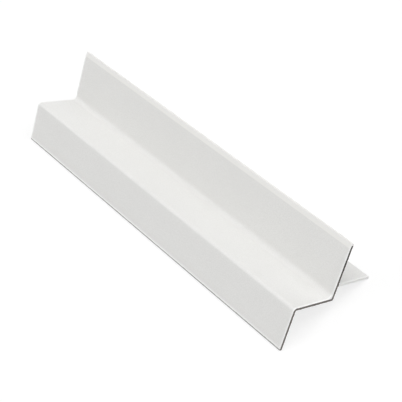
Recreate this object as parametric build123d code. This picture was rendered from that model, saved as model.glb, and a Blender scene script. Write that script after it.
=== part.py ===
from build123d import *
import math
import os

# Shadow gap profile: one straight length of coated aluminium extrusion.
# The section is a stepped Z with a flange on the back of its upper wall:
# a leg that hangs down in front, a ledge that is the floor of the shadow gap,
# a wall that rises behind the ledge, and a flange behind the wall.
# Millimetres. The section is drawn square, with the ledge level, and the
# length is then laid down the way it rests on a floor, on the foot of the
# leg and the tip of the flange.

# Driving dimensions
length = 165.0          # end to end
ledge_depth = 20.0      # front of the leg to the front of the wall
leg_height = 18.3       # top of the ledge to the foot of the leg
flange_level = 6.0      # top of the ledge to the top of the flange
board_depth = 17.5      # top of the flange to the top of the wall
flange_reach = 18.5     # front of the wall to the tip of the flange
thickness = 1.0         # every limb
nose_radius = 1.4       # front edge of the ledge
gap_radius = 2.2        # inner corner between the ledge and the wall
heel_radius = 0.6       # outer corner below it, at the back
root_radius = 0.3       # the small inner corners behind
edge_radius = 0.2       # free edges of the limbs
bevel_height = 2.2      # the band along the top of the wall's front face
bevel_setback = 0.25    # how far that band leans back at the top

# The section: first coordinate runs from front to back, second one up
wall_height = flange_level + board_depth
back_of_wall = ledge_depth + thickness
tip_of_flange = ledge_depth + flange_reach
under_flange = flange_level - thickness

outline = {
    "leg_foot_front": (0, -leg_height),
    "leg_foot_back": (thickness, -leg_height),
    "under_ledge": (thickness, -thickness),
    "heel": (back_of_wall, -thickness),
    "flange_root_under": (back_of_wall, under_flange),
    "flange_tip_under": (tip_of_flange, under_flange),
    "flange_tip_top": (tip_of_flange, flange_level),
    "flange_root_top": (back_of_wall, flange_level),
    "wall_top_back": (back_of_wall, wall_height),
    "wall_top_front": (ledge_depth + bevel_setback, wall_height),
    "bevel_foot": (ledge_depth, wall_height - bevel_height),
    "gap_corner": (ledge_depth, 0),
    "nose": (0, 0),
}
corner_radius = {
    "nose": nose_radius,
    "under_ledge": root_radius,
    "gap_corner": gap_radius,
    "heel": heel_radius,
    "flange_root_under": root_radius,
    "flange_root_top": root_radius,
    "leg_foot_front": edge_radius,
    "leg_foot_back": edge_radius,
    "flange_tip_under": edge_radius,
    "flange_tip_top": edge_radius,
    "wall_top_back": edge_radius,
    "wall_top_front": edge_radius,
}

section = make_face(Polyline(*outline.values(), close=True))
for corner, radius in corner_radius.items():
    across, up = outline[corner]
    vertex = section.vertices().sort_by_distance((across, up, 0))[0]
    section = fillet(vertex, radius)

# Stand the section up across the X axis and pull it to its length
profile = extrude(Plane.YZ * section, amount=length)

# Lay it down: the back edge of the leg's foot and the lower edge of the
# flange's tip touch the floor together
rest_tilt = math.degrees(math.atan2(
    under_flange + leg_height, tip_of_flange - thickness))
profile = Rot(X=-rest_tilt) * profile

box = profile.bounding_box()
profile = Pos(-box.center().X, -box.center().Y, -box.min.Z) * profile
profile.label = "shadow_gap_profile"

os.makedirs("parts", exist_ok=True)
export_step(profile, "parts/shadow_gap_profile.step")

print("rest tilt %.2f degrees" % rest_tilt)
print("box %s" % profile.bounding_box().size)
print("volume %.1f mm3" % profile.volume)
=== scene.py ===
# %% [markdown]
# # A length of shadow gap profile
# This lesson dresses one straight length of aluminium extrusion: a leg, a ledge, a wall and a flange,
# all one limb thick, with a white coat on the outside and bare metal where a saw has cut it to length.
# The imported solid comes first. It is the fixed frame that everything else has to agree with, so its box
# is kept now, before anything new is made.

# %% Load the imported solid
import math

import bmesh
import bpy
from mathutils import Matrix, Quaternion, Vector, noise


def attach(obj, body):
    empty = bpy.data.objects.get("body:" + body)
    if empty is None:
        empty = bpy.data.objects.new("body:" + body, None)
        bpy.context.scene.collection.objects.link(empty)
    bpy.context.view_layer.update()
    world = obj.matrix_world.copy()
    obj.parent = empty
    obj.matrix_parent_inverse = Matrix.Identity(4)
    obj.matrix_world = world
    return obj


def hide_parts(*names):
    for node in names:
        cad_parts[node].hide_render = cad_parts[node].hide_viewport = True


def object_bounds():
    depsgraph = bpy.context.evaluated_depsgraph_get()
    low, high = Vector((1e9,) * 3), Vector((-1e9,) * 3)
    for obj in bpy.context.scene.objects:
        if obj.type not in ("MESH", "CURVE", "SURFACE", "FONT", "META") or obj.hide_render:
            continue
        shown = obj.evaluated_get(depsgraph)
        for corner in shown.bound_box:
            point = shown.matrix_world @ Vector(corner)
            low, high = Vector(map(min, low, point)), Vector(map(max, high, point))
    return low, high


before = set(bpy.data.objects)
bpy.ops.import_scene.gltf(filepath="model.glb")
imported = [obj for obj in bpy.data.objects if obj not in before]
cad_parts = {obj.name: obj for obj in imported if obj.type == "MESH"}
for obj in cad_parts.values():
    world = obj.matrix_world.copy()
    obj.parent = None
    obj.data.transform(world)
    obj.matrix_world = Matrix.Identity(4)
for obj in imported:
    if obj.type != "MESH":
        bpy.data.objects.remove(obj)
solid_low, solid_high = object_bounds()
MM = 0.001
print("solid:", list(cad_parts), [round(side / MM, 2) for side in solid_high - solid_low], "mm")

# %% [markdown]
# ## The section
# An extrusion is one outline pulled out to a length, so the outline carries nearly all of the shape.
# It could be drawn as a curve and given depth, but a curve rounds every corner in the same way. A list
# of named corners keeps each corner's own radius, and the names say later which limb a point is on.
# The sizes are in millimetres. The ledge lies level here, with its front edge at zero. The length is
# read off the solid.

# %% Corners of the section
LEDGE_DEPTH = 20.0
LEG_HEIGHT = 18.3
FLANGE_LEVEL = 6.0
WALL_HEIGHT = 23.5
FLANGE_TIP = 38.5
LIMB = 1.0
BEVEL_HEIGHT = 2.2
BEVEL_SETBACK = 0.25

length = (solid_high.x - solid_low.x) / MM
wall_back = LEDGE_DEPTH + LIMB
flange_under = FLANGE_LEVEL - LIMB
corners = {
    "foot_front": (0, -LEG_HEIGHT),
    "foot_back": (LIMB, -LEG_HEIGHT),
    "under_ledge": (LIMB, -LIMB),
    "heel": (wall_back, -LIMB),
    "root_under": (wall_back, flange_under),
    "tip_under": (FLANGE_TIP, flange_under),
    "tip_top": (FLANGE_TIP, FLANGE_LEVEL),
    "root_top": (wall_back, FLANGE_LEVEL),
    "top_back": (wall_back, WALL_HEIGHT),
    "top_front": (LEDGE_DEPTH + BEVEL_SETBACK, WALL_HEIGHT),
    "bevel_foot": (LEDGE_DEPTH, WALL_HEIGHT - BEVEL_HEIGHT),
    "gap_corner": (LEDGE_DEPTH, 0),
    "nose": (0, 0),
}
print("section:", len(corners), "corners, pulled to %.1f mm" % length)

# %% Radius of each corner
NOSE_RADIUS = 1.4
GAP_RADIUS = 2.2
HEEL_RADIUS = 0.6
ROOT_RADIUS = 0.3
EDGE_RADIUS = 0.2

radii = dict.fromkeys(corners, EDGE_RADIUS)
radii.update(dict.fromkeys(("under_ledge", "root_under", "root_top"), ROOT_RADIUS))
radii.update(nose=NOSE_RADIUS, gap_corner=GAP_RADIUS, heel=HEEL_RADIUS, bevel_foot=0)
print("rounded:", sum(radius > 0 for radius in radii.values()), "of", len(radii), "corners")

# %% [markdown]
# ## Rounding the corners
# A bevel modifier could round the corners of a finished mesh, with one width for all. Here each corner
# is rounded while the outline is still flat: step back from the corner along both edges and sweep an
# arc between the two places. The straight runs are then cut into short steps, because the saw's burr
# needs points to be ragged with.

# %% Walk round the outline
ARC_STEP = math.radians(9)
RUN_STEP = 0.45


def corner_arc(before, corner, after, radius):
    """The points that stand for one corner, from its incoming edge to its outgoing edge."""
    if radius == 0:
        return [corner]
    back = (before - corner).normalized()
    ahead = (after - corner).normalized()
    turn = math.pi - back.angle(ahead)
    start = corner + back * radius * math.tan(turn / 2)
    centre = corner + (back + ahead).normalized() * radius / math.cos(turn / 2)
    way = 1 if back.cross(ahead) < 0 else -1
    steps = max(2, round(turn / ARC_STEP))
    turns = [Matrix.Rotation(way * turn * step / steps, 2) for step in range(steps + 1)]
    return [centre + part @ (start - centre) for part in turns]


def walk_round(sharp_corners, rounding):
    """Every point of the rounded outline, the corner it follows, and the places of each corner's arc."""
    names = list(sharp_corners)
    sharp = [Vector(sharp_corners[name]) for name in names]
    arcs = []
    for place, name in enumerate(names):
        after = sharp[(place + 1) % len(sharp)]
        arcs.append(corner_arc(sharp[place - 1], sharp[place], after, rounding[name]))
    points, followed, arc_places = [], [], {}
    for place, name in enumerate(names):
        arc_places[name] = range(len(points), len(points) + len(arcs[place]))
        run_start = arcs[place][-1]
        run_end = arcs[(place + 1) % len(arcs)][0]
        steps = math.ceil((run_end - run_start).length / RUN_STEP)
        run = [run_start.lerp(run_end, step / steps) for step in range(1, steps)]
        points += arcs[place] + run
        followed += [name] * (len(arcs[place]) + len(run))
    return points, followed, arc_places


outline, follows, bends = walk_round(corners, radii)
print("outline:", len(outline), "points")

# %% [markdown]
# ## Lying at rest
# Nothing holds this length up, so it lies on the foot of its leg and the tip of its flange, and the
# ledge slopes. The slope follows from those two places. The finished object could be turned by it, but
# the solid keeps its place in its mesh, and what stands for it does the same. So the section itself is
# turned and moved, until it is centred on the origin with its lowest line on the floor.

# %% Turn the section to the way it lies
slope = math.atan2(flange_under + LEG_HEIGHT, FLANGE_TIP - LIMB)
lay_down = Matrix.Rotation(-slope, 2)
turned = [lay_down @ point for point in outline]
across_mid = (min(p.x for p in turned) + max(p.x for p in turned)) / 2
shift = Vector((across_mid, min(p.y for p in turned)))
lying = [point - shift for point in turned]


def outward(points):
    """For each point of the outline, the unit direction that leads straight out of the metal."""
    sides = []
    for place, after in enumerate(points[1:] + points[:1]):
        along = (after - points[place - 1]).normalized()
        sides.append(Vector((along.y, -along.x)))
    return sides


out_of_metal = outward(lying)
print("slope: %.2f degrees, height %.2f mm" % (math.degrees(slope), max(p.y for p in lying)))

# %% [markdown]
# ## The two saw cuts
# At a cut the coat breaks off a hair's breadth inside the edge, and where the blade leaves the metal it
# drags out a small ragged burr. Both could be faked with a bump, but the burr shows in the outline of
# the part, so it is made of geometry. Each end gets one more ring of points: on the coated side it is
# drawn in by the thickness of the coat, and more along the ledge, where a file has broken the edge. On
# the back it is pushed out by an uneven amount, which fades out towards the floor, so that the part
# still lies on its foot.

# %% How far the end ring moves in or out
COAT = 0.04
BROKEN_EDGE = 0.14
BURR_HIGH = 0.2
BURR_PITCH = 0.9
FINE_PITCH = 0.35
EVEN_SHARE, ROUGH_SHARE, FINE_SHARE = 0.25, 0.75, 0.25
BURR_STARTS = 0.5
BURR_RISES = 0.8
NEAR_SEED, FAR_SEED, FINE_SEED = 3.0, 11.0, 7.0
BURRED = {"foot_back", "under_ledge", "heel", "root_top"}


def raggedness(point, pitch, seed):
    """Smooth noise with lumps about one pitch wide, the same in every run."""
    return noise.noise(Vector((point.x / pitch, point.y / pitch, seed)))


def burr_at(point, seed):
    """Height of the burr at one place of the outline."""
    lumps = EVEN_SHARE + ROUGH_SHARE * raggedness(point, BURR_PITCH, seed)
    lumps += FINE_SHARE * raggedness(point, FINE_PITCH, seed + FINE_SEED)
    clear_of_floor = min(1.0, max(0.0, point.y - BURR_STARTS) / BURR_RISES)
    return BURR_HIGH * max(0.0, lumps) * clear_of_floor


def end_growth(seed):
    """For each point of the end ring, how far it lies outside the coat's surface."""
    growth = []
    for point, name in zip(lying, follows):
        inset = BROKEN_EDGE if name == "gap_corner" else COAT
        growth.append(burr_at(point, seed) if name in BURRED else -inset)
    return growth


near_growth = end_growth(NEAR_SEED)
far_growth = end_growth(FAR_SEED)
print("burr: up to %.2f mm near, %.2f mm far" % (max(near_growth), max(far_growth)))

# %% [markdown]
# ## The mesh
# A screw or array modifier could repeat the section along the length, but both ends would then be alike.
# Here rings of points are joined with four-sided faces, and the last ring at each end has its own burr.
# The faces are shaded smooth, which makes the rounded corners look round.

# %% Join rings along the length
LIP = 0.12
BAYS = 15
COAT_SLOT, CUT_SLOT = 0, 1


def add_ring(mesh, along, growth):
    """One closed ring of points at a place along the length, each moved out by its growth."""
    ring = []
    for point, side, grow in zip(lying, out_of_metal, growth):
        spot = point + side * grow
        ring.append(mesh.verts.new(Vector((along, spot.x, spot.y)) * MM))
    return ring


def join_rings(mesh, ring, further, burred=False):
    """Faces between two neighbouring rings. On a burred lip, the back faces are bare metal."""
    for place, name in enumerate(follows):
        after = (place + 1) % len(ring)
        face = mesh.faces.new((ring[place], further[place], further[after], ring[after]))
        face.smooth = True
        face.material_index = CUT_SLOT if burred and name in BURRED else COAT_SLOT


metal = bmesh.new()
no_growth = [0.0] * len(lying)
inner = length / 2 - LIP
stations = [inner * (2 * bay / BAYS - 1) for bay in range(BAYS + 1)]
body = [add_ring(metal, along, no_growth) for along in stations]
far_rim = add_ring(metal, -length / 2, far_growth)
near_rim = add_ring(metal, length / 2, near_growth)
for ring, further in zip(body, body[1:]):
    join_rings(metal, ring, further)
join_rings(metal, far_rim, body[0], burred=True)
join_rings(metal, body[-1], near_rim, burred=True)
print("sides:", len(metal.faces), "faces in", BAYS + 2, "bays")

# %% [markdown]
# ## Closing the ends
# One face could close each end and make the mesh watertight. But powder pools in the corner of the gap,
# so on the cut that fillet is pale, and the dark line of the metal turns a sharp corner behind it. One
# more point in that corner splits the end into two faces: the pale fillet and the bare limbs. The rims
# of the cuts and the line where the bevel starts are marked sharp, so that the shading breaks there.

# %% Close the ends and mark the sharp lines
SAME_STATION = 0.001 * MM
inner_corner = lay_down @ Vector((LEDGE_DEPTH + COAT, -BROKEN_EDGE)) - shift


def close_end(mesh, rim):
    """Two faces over one cut: the pale fillet in the corner of the gap, and the dark limbs."""
    bend = bends["gap_corner"]
    along = rim[0].co.x
    tip = mesh.verts.new((along, inner_corner.x * MM, inner_corner.y * MM))
    fillet = mesh.faces.new([rim[place] for place in bend] + [tip])
    limbs = mesh.faces.new(rim[: bend[0] + 1] + [tip] + rim[bend[-1]:])
    fillet.material_index = COAT_SLOT
    limbs.material_index = CUT_SLOT
    return [fillet, limbs]


caps = close_end(metal, far_rim) + close_end(metal, near_rim)
bmesh.ops.recalc_face_normals(metal, faces=metal.faces)
bmesh.ops.triangulate(metal, faces=caps, ngon_method="BEAUTY")

rims = set(far_rim + near_rim + body[0] + body[-1])
for edge in metal.edges:
    first, second = edge.verts
    if first in rims and second in rims and abs(first.co.x - second.co.x) < SAME_STATION:
        edge.smooth = False
bevel_line = follows.index("bevel_foot")
for ring, further in zip([far_rim] + body, body + [near_rim]):
    metal.edges.get((ring[bevel_line], further[bevel_line])).smooth = False
print("sharp:", sum(not edge.smooth for edge in metal.edges), "of", len(metal.edges), "edges")

# %% Make the mesh an object


def put_in_scene(name, data):
    """A new object in the scene for a mesh, a lamp or a camera."""
    made = bpy.data.objects.new(name, data)
    bpy.context.scene.collection.objects.link(made)
    return made


profile_mesh = bpy.data.meshes.new("coated_profile")
metal.to_mesh(profile_mesh)
metal.free()
coated_profile = put_in_scene("coated_profile", profile_mesh)
print("profile:", len(profile_mesh.vertices), "points,", len(profile_mesh.polygons), "faces")

# %% [markdown]
# ## Writing shaders as sums
# A finish is a tree of nodes. It could be wired by hand, but long trees are hard to read. A small class
# wraps the output of a node, so that ordinary arithmetic on it adds the Math nodes by itself. Every
# other kind of node comes from one method, which sets the node up first and then fills in or links its
# inputs.

# %% A class for node values


class Value:
    """The output of a node in one tree. Sums with numbers or other values add Math nodes."""

    def __init__(self, tree, socket=None):
        self.tree = tree
        self.socket = socket

    def node(self, kind, settings=None, inputs=None, out=0):
        """A new node of a kind: its settings first, then its inputs. Gives one of its outputs."""
        made = self.tree.nodes.new(kind)
        for name, setting in (settings or {}).items():
            setattr(made, name, setting)
        for name, given in (inputs or {}).items():
            if isinstance(given, Value):
                self.tree.links.new(given.socket, made.inputs[name])
            else:
                made.inputs[name].default_value = given
        return Value(self.tree, made.outputs[out] if made.outputs else None)

    def math(self, operation, *terms):
        """A Math node on one or two values or numbers."""
        return self.node("ShaderNodeMath", {"operation": operation}, dict(enumerate(terms)))

    def __add__(self, other):
        return self.math("ADD", self, other)

    def __sub__(self, other):
        return self.math("SUBTRACT", self, other)

    def __rsub__(self, other):
        return self.math("SUBTRACT", other, self)

    def __mul__(self, other):
        return self.math("MULTIPLY", self, other)

    __radd__ = __add__
    __rmul__ = __mul__


print("node values take +, - and *")

# %% [markdown]
# ## Words for finishes
# Both finishes need mottling, soft edges and blends of two colours, so each of these is one function.
# They also need to know where on the section a point is. That could be painted on as an attribute, but
# the place itself gives it: its distance along the two directions of the level section.

# %% Functions for both finishes


def new_finish(name):
    """An empty material and the value that its nodes are made from."""
    finish = bpy.data.materials.new(name)
    finish.use_nodes = True
    finish.node_tree.nodes.clear()
    return finish, Value(finish.node_tree)


def noise_over(place, size_mm, detail=2.0):
    """Soft random mottling whose spots are about so many millimetres across."""
    inputs = {"Vector": place, "Scale": 1 / (size_mm * MM), "Detail": detail}
    return place.node("ShaderNodeTexNoise", inputs=inputs)


def ease(given, low, high):
    """0 below low, 1 above high, and a smooth step between them."""
    settings = {"interpolation_type": "SMOOTHSTEP"}
    return given.node("ShaderNodeMapRange", settings, {"Value": given, "From Min": low, "From Max": high})


def beyond(given, edge, fade):
    """0 before an edge and 1 past it, with a short fade across it."""
    return ease(given, edge - fade / 2, edge + fade / 2)


def blend_colours(share, first, second):
    """A colour between two. The sockets go by number, because a Mix node repeats their names."""
    return share.node("ShaderNodeMix", {"data_type": "RGBA"}, {0: share, 6: first, 7: second}, out=2)


section_zero = Matrix.Rotation(slope, 2) @ shift
to_the_back = (0.0, math.cos(slope), -math.sin(slope))
to_the_top = (0.0, math.sin(slope), math.cos(slope))


def place_in_section(place):
    """How far back and how high a point is in the level section, both in millimetres."""
    measured = []
    for direction, zero in ((to_the_back, section_zero.x), (to_the_top, section_zero.y)):
        settings = {"operation": "DOT_PRODUCT"}
        along = place.node("ShaderNodeVectorMath", settings, {0: place, 1: direction}, out="Value")
        measured.append(along * (1 / MM) + zero)
    return measured


print("section's zero: %.2f mm back, %.2f mm up" % (section_zero.x, section_zero.y))

# %% [markdown]
# ## The white coat
# Powder is sprayed on dry and melts into a skin. It is never quite flat: it settles into low waves a
# millimetre or so wide, over the faint lines that the die left along the metal. Both are far too low to
# model, so they are a bump. The tint has a fine grain, and drifts a little over a few centimetres.
# A band beside the cuts and above the foot is painted paler, as a painted highlight, and the bevel is
# painted paler as painted light. Along the foot a thin dark line is a painted shadow, where the part
# meets the floor. A painted mask could place these, but the masks worked out here from the sizes of the
# section follow the part exactly.

# %% Mottling of the white coat
WAVE_SIZE = 1.3
GRAIN_SIZE = 0.3
DIE_LINE_SIZE = 0.6
DIE_LINE_SQUEEZE = (0.02, 1.0, 1.0)
DRIFT_SIZE = 22.0
white_coat, coat = new_finish("white_coat")
place = coat.node("ShaderNodeTexCoord", out="Object")
squeezed = coat.node("ShaderNodeVectorMath", {"operation": "MULTIPLY"}, {0: place, 1: DIE_LINE_SQUEEZE})
settled_waves = noise_over(place, WAVE_SIZE)
fine_grain = noise_over(place, GRAIN_SIZE)
die_lines = noise_over(squeezed, DIE_LINE_SIZE, detail=1.0)
drift = noise_over(place, DRIFT_SIZE, detail=3.0)
print("mottling: from %.1f to %.0f mm" % (GRAIN_SIZE, DRIFT_SIZE))

# %% Edges of the white coat
EDGE_BAND = 0.7
EDGE_FADE = 0.25
FOOT_SHADOW_BAND = 0.5
FOOT_SHADOW_FADE = 0.15
FOOT_SHADOW_WANDER = 0.3
BEVEL_FADE = 0.06
TOP_FADE = 0.1
depth, level = place_in_section(place)
lengthwise = coat.node("ShaderNodeSeparateXYZ", inputs={0: place}, out="X") * (1 / MM)
from_middle = coat.math("ABSOLUTE", lengthwise)

# Painted highlight: a pale band along each cut and above the foot.
by_the_cut = beyond(from_middle, length / 2 - EDGE_BAND, EDGE_FADE)
by_the_foot = 1 - beyond(level, FOOT_SHADOW_BAND + EDGE_BAND - LEG_HEIGHT, EDGE_FADE)
painted_edge_highlight = coat.math("MAXIMUM", by_the_cut, by_the_foot)
# Painted light: the bevel is coloured paler than the wall, as the light falling on it would make it.
middle_of_top = LEDGE_DEPTH + (LIMB + BEVEL_SETBACK) / 2
on_front = 1 - beyond(depth, middle_of_top, TOP_FADE)
on_bevel = beyond(level, WALL_HEIGHT - BEVEL_HEIGHT, BEVEL_FADE) * on_front
# Painted shadow: a thin dark line along the foot, where it meets the floor.
wandering_level = level + FOOT_SHADOW_WANDER * (settled_waves - 0.5)
painted_foot_shadow = 1 - beyond(wandering_level, FOOT_SHADOW_BAND - LEG_HEIGHT, FOOT_SHADOW_FADE)
print("edges: %.1f mm paler, %.1f mm scuffed" % (EDGE_BAND, FOOT_SHADOW_BAND))

# %% Colours and gloss of the white coat
CREAM = (0.850, 0.847, 0.830, 1)
PALE_CREAM = (0.866, 0.863, 0.847, 1)
GRAIN_SHADE = (0.800, 0.797, 0.780, 1)
BEVEL_PAINTED_LIGHT = (0.901, 0.893, 0.868, 1)
EDGE_PAINTED_HIGHLIGHT = (0.970, 0.970, 0.960, 1)
FOOT_PAINTED_SHADOW = (0.300, 0.295, 0.285, 1)
EDGE_SHARE = 0.85
RELIEF = 0.02 * MM

tint = blend_colours(ease(drift, 0.3, 0.7), CREAM, PALE_CREAM)
tint = blend_colours(ease(fine_grain, 0.35, 0.65), tint, GRAIN_SHADE)
# Painted light on the bevel, a painted highlight by the cuts and the foot, and a painted shadow along the
# foot.
tint = blend_colours(on_bevel, tint, BEVEL_PAINTED_LIGHT)
tint = blend_colours(EDGE_SHARE * painted_edge_highlight, tint, EDGE_PAINTED_HIGHLIGHT)
tint = blend_colours(painted_foot_shadow, tint, FOOT_PAINTED_SHADOW)
gloss_spread = 0.36 + 0.10 * fine_grain + 0.06 * drift
height = 0.8 * settled_waves + 0.12 * fine_grain + 0.18 * die_lines
dimples = coat.node("ShaderNodeBump", inputs={"Strength": 0.35, "Distance": RELIEF, "Height": height})
surface = coat.node(
    "ShaderNodeBsdfPrincipled",
    inputs={"Base Color": tint, "Roughness": gloss_spread, "Normal": dimples},
)
coat.node("ShaderNodeOutputMaterial", inputs={"Surface": surface})
print("white coat:", len(white_coat.node_tree.nodes), "nodes")

# %% [markdown]
# ## The sawn metal
# The cut shows the bare aluminium, scored by the teeth in fine parallel lines and darkened by what the
# blade smeared over it. Towards the top of the wall the cut is painted darker still, as painted shade.
# The flange was cut cleaner and the wall's top corner has been filed, so both are bright. These could be
# separate materials, but the place in the section tells them apart, so one does for all. The lines are a
# wave texture, whose bands repeat after a twentieth of a full turn divided by its scale.

# %% Marks on the sawn metal
SAW_PITCH = 0.2856
WAVE_REPEAT = math.tau / 20
SMEAR_SIZE = 1.6
FLANGE_STARTS = 0.225
FLANGE_FADE = 0.25
FILED_TOP = 0.9
FILED_FADE = 0.2
sawn_metal, sawn = new_finish("sawn_metal")
place = sawn.node("ShaderNodeTexCoord", out="Object")
depth, level = place_in_section(place)
line_scale = WAVE_REPEAT / (SAW_PITCH * MM)
saw_lines = sawn.node(
    "ShaderNodeTexWave",
    {"wave_type": "BANDS", "bands_direction": "Z"},
    {"Vector": place, "Scale": line_scale, "Distortion": 2.5, "Detail": 2.0, "Detail Scale": 1.5},
    out="Fac",
)
smears = noise_over(place, SMEAR_SIZE, detail=3.0)
on_flange = beyond(depth, wall_back + FLANGE_STARTS, FLANGE_FADE)
filed = beyond(level, WALL_HEIGHT - FILED_TOP, FILED_FADE)
clean = sawn.math("MAXIMUM", on_flange, filed)
print("saw lines: %.2f mm apart" % SAW_PITCH)

# %% Colours and gloss of the sawn metal
DARK_SMEAR = (0.088, 0.076, 0.067, 1)
THIN_SMEAR = (0.165, 0.144, 0.128, 1)
UPPER_PAINTED_SHADE = (0.022, 0.019, 0.016, 1)
BRIGHT_CUT = (0.90, 0.90, 0.885, 1)
BRIGHT_LINE = (0.97, 0.97, 0.955, 1)
UPPER_SHADE_SHARE = 0.9
UPPER_SHADE_LEVEL = 14.0

dark_tone = blend_colours(0.55 * saw_lines + 0.45 * smears, DARK_SMEAR, THIN_SMEAR)
# Painted shade: the cut is coloured darker towards the top of the wall.
dark_tone = blend_colours(UPPER_SHADE_SHARE * ease(level, 0.0, UPPER_SHADE_LEVEL), dark_tone, UPPER_PAINTED_SHADE)
bright_tone = blend_colours(saw_lines, BRIGHT_CUT, BRIGHT_LINE)
tone = blend_colours(clean, dark_tone, bright_tone)
spread = 0.5 + 0.15 * smears
metallic = 0.35 - 0.25 * clean
height = saw_lines + 0.6 * smears
scores = sawn.node("ShaderNodeBump", inputs={"Strength": 0.5, "Distance": RELIEF, "Height": height})
surface = sawn.node(
    "ShaderNodeBsdfPrincipled",
    inputs={"Base Color": tone, "Roughness": spread, "Metallic": metallic, "Normal": scores},
)
sawn.node("ShaderNodeOutputMaterial", inputs={"Surface": surface})
print("sawn metal:", len(sawn_metal.node_tree.nodes), "nodes")

# %% [markdown]
# ## In place of the solid
# The solid could be shown with these two finishes, but it has no burr and no broken coat. So the new
# mesh stands for it and moves with it, and the solid stays hidden for the part's weight and collision.

# %% Dress the part and put it in place of the solid
profile_mesh.materials.append(white_coat)
profile_mesh.materials.append(sawn_metal)
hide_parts("shadow_gap_profile")
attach(coated_profile, "root")
print("slots:", [slot.name for slot in coated_profile.material_slots])

# %% [markdown]
# ## The floor
# The part lies on a white floor. Plain white paint would come out grey in this weak light, and stronger
# lamps would wash out the part. So the floor is ordinary paint for the light that bounces off it, and
# for the camera it is thinner paint that also glows: white around the part, with the part's shadow
# still on it, only softer. It lies a hair below the part, so that the two never share a surface.

# %% White floor
FLOOR_HALF = 6.0
FLOOR_DROP = 0.02 * MM
FLOOR_GLOW = 0.76
PAINT = (0.8, 0.8, 0.8, 1)
THIN_PAINT = (0.27, 0.27, 0.27, 1)
floor_corners = [(-1, -1), (1, -1), (1, 1), (-1, 1)]
floor_points = [(x * FLOOR_HALF, y * FLOOR_HALF, -FLOOR_DROP) for x, y in floor_corners]
floor_mesh = bpy.data.meshes.new("floor")
floor_mesh.from_pydata(floor_points, [], [(0, 1, 2, 3)])
floor = put_in_scene("floor", floor_mesh)


def seen_directly(nodes):
    """1 for rays from the camera, or by way of a mirror or glass, and 0 for light that only falls."""
    kinds = [
        nodes.node("ShaderNodeLightPath", out=kind)
        for kind in ("Is Camera Ray", "Is Glossy Ray", "Is Transmission Ray")
    ]
    return kinds[0] + kinds[1] + kinds[2]


white_floor, painted = new_finish("white_floor")
paint = painted.node("ShaderNodeBsdfDiffuse", inputs={"Color": PAINT})
thin_paint = painted.node("ShaderNodeBsdfDiffuse", inputs={"Color": THIN_PAINT})
glow = painted.node("ShaderNodeEmission", inputs={"Strength": FLOOR_GLOW})
shown = painted.node("ShaderNodeAddShader", inputs={0: thin_paint, 1: glow})
lit = painted.node("ShaderNodeMixShader", inputs={0: seen_directly(painted), 1: paint, 2: shown})
painted.node("ShaderNodeOutputMaterial", inputs={"Surface": lit})
floor_mesh.materials.append(white_floor)
print("floor:", FLOOR_HALF * 2, "m square")

# %% [markdown]
# ## Light
# White metal shows its form only through small steps in brightness: the ledge palest, then the bevel,
# then the wall and the leg. One strong lamp would make those steps too large and draw a bright line
# along every rounded corner. Five broad, weak lamps do better: overhead and rear ones for the ledge and
# the flange, one past each end, and a low one in front for the leg. Each is a sun with a wide angle,
# which lights the whole length equally. A faint white room fills in what they leave.

# %% White room
WHITE = (1, 1, 1, 1)
ROOM_LIGHT = 0.04
BACKDROP_LIGHT = 1.0
room = bpy.data.worlds.new("white_room")
room.use_nodes = True
room.node_tree.nodes.clear()
air = Value(room.node_tree)
fill = air.node("ShaderNodeBackground", inputs={"Color": WHITE, "Strength": ROOM_LIGHT})
backdrop = air.node("ShaderNodeBackground", inputs={"Color": WHITE, "Strength": BACKDROP_LIGHT})
both = air.node("ShaderNodeMixShader", inputs={0: seen_directly(air), 1: fill, 2: backdrop})
air.node("ShaderNodeOutputWorld", inputs={"Surface": both})
bpy.context.scene.world = room
print("room: light %.2f" % ROOM_LIGHT)

# %% Lamps, each with its azimuth, elevation and strength
LAMP_WIDTH = math.radians(45)
LAMPS = {
    "overhead_softbox": (0, 90, 1.26),
    "rear_softbox": (180, 62, 0.60),
    "near_end_softbox": (135, 35, 0.97),
    "far_end_softbox": (315, 35, 0.81),
    "low_front_softbox": (0, 12, 0.57),
}


def away_from_part(azimuth, elevation):
    """Unit direction from the part to a stand. Azimuth 0 is in front, and 90 is off the near end."""
    turn, rise = math.radians(azimuth), math.radians(elevation)
    return Vector((math.sin(turn) * math.cos(rise), -math.cos(turn) * math.cos(rise), math.sin(rise)))


for name, (azimuth, elevation, strength) in LAMPS.items():
    lamp = bpy.data.lights.new(name, "SUN")
    lamp.energy = strength
    lamp.angle = LAMP_WIDTH
    stand = put_in_scene(name, lamp)
    stand.rotation_euler = away_from_part(azimuth, elevation).to_track_quat("Z", "Y").to_euler()
print("lamps:", len(LAMPS))

# %% [markdown]
# ## Camera
# The camera stands to the right of the part's front and looks down along it, close enough for the far
# end to look smaller. It is also turned a little about its own line of sight. A level camera with a
# shifted picture could frame the part as well, but it would carry that shift into every other view.

# %% Camera
AZIMUTH = 60.45
ELEVATION = 46.58
ROLL = -14.00
AIM = Vector((9.44, 2.22, 5.96)) * MM
DISTANCE = 447.4 * MM
FOCAL_LENGTH = 99.79
SENSOR_WIDTH = 36.0
NEAREST_SEEN = 10 * MM
lens = bpy.data.cameras.new("camera")
lens.lens = FOCAL_LENGTH
lens.sensor_width = SENSOR_WIDTH
lens.clip_start = NEAREST_SEEN
camera = put_in_scene("camera", lens)
stand_off = away_from_part(AZIMUTH, ELEVATION)
upright = stand_off.to_track_quat("Z", "Y")
camera.location = AIM + stand_off * DISTANCE
camera.rotation_euler = (upright @ Quaternion((0, 0, 1), math.radians(ROLL))).to_euler()
bpy.context.scene.camera = camera
bpy.context.scene.view_settings.view_transform = "Standard"
print("camera at", [round(side / MM, 1) for side in camera.location], "mm")
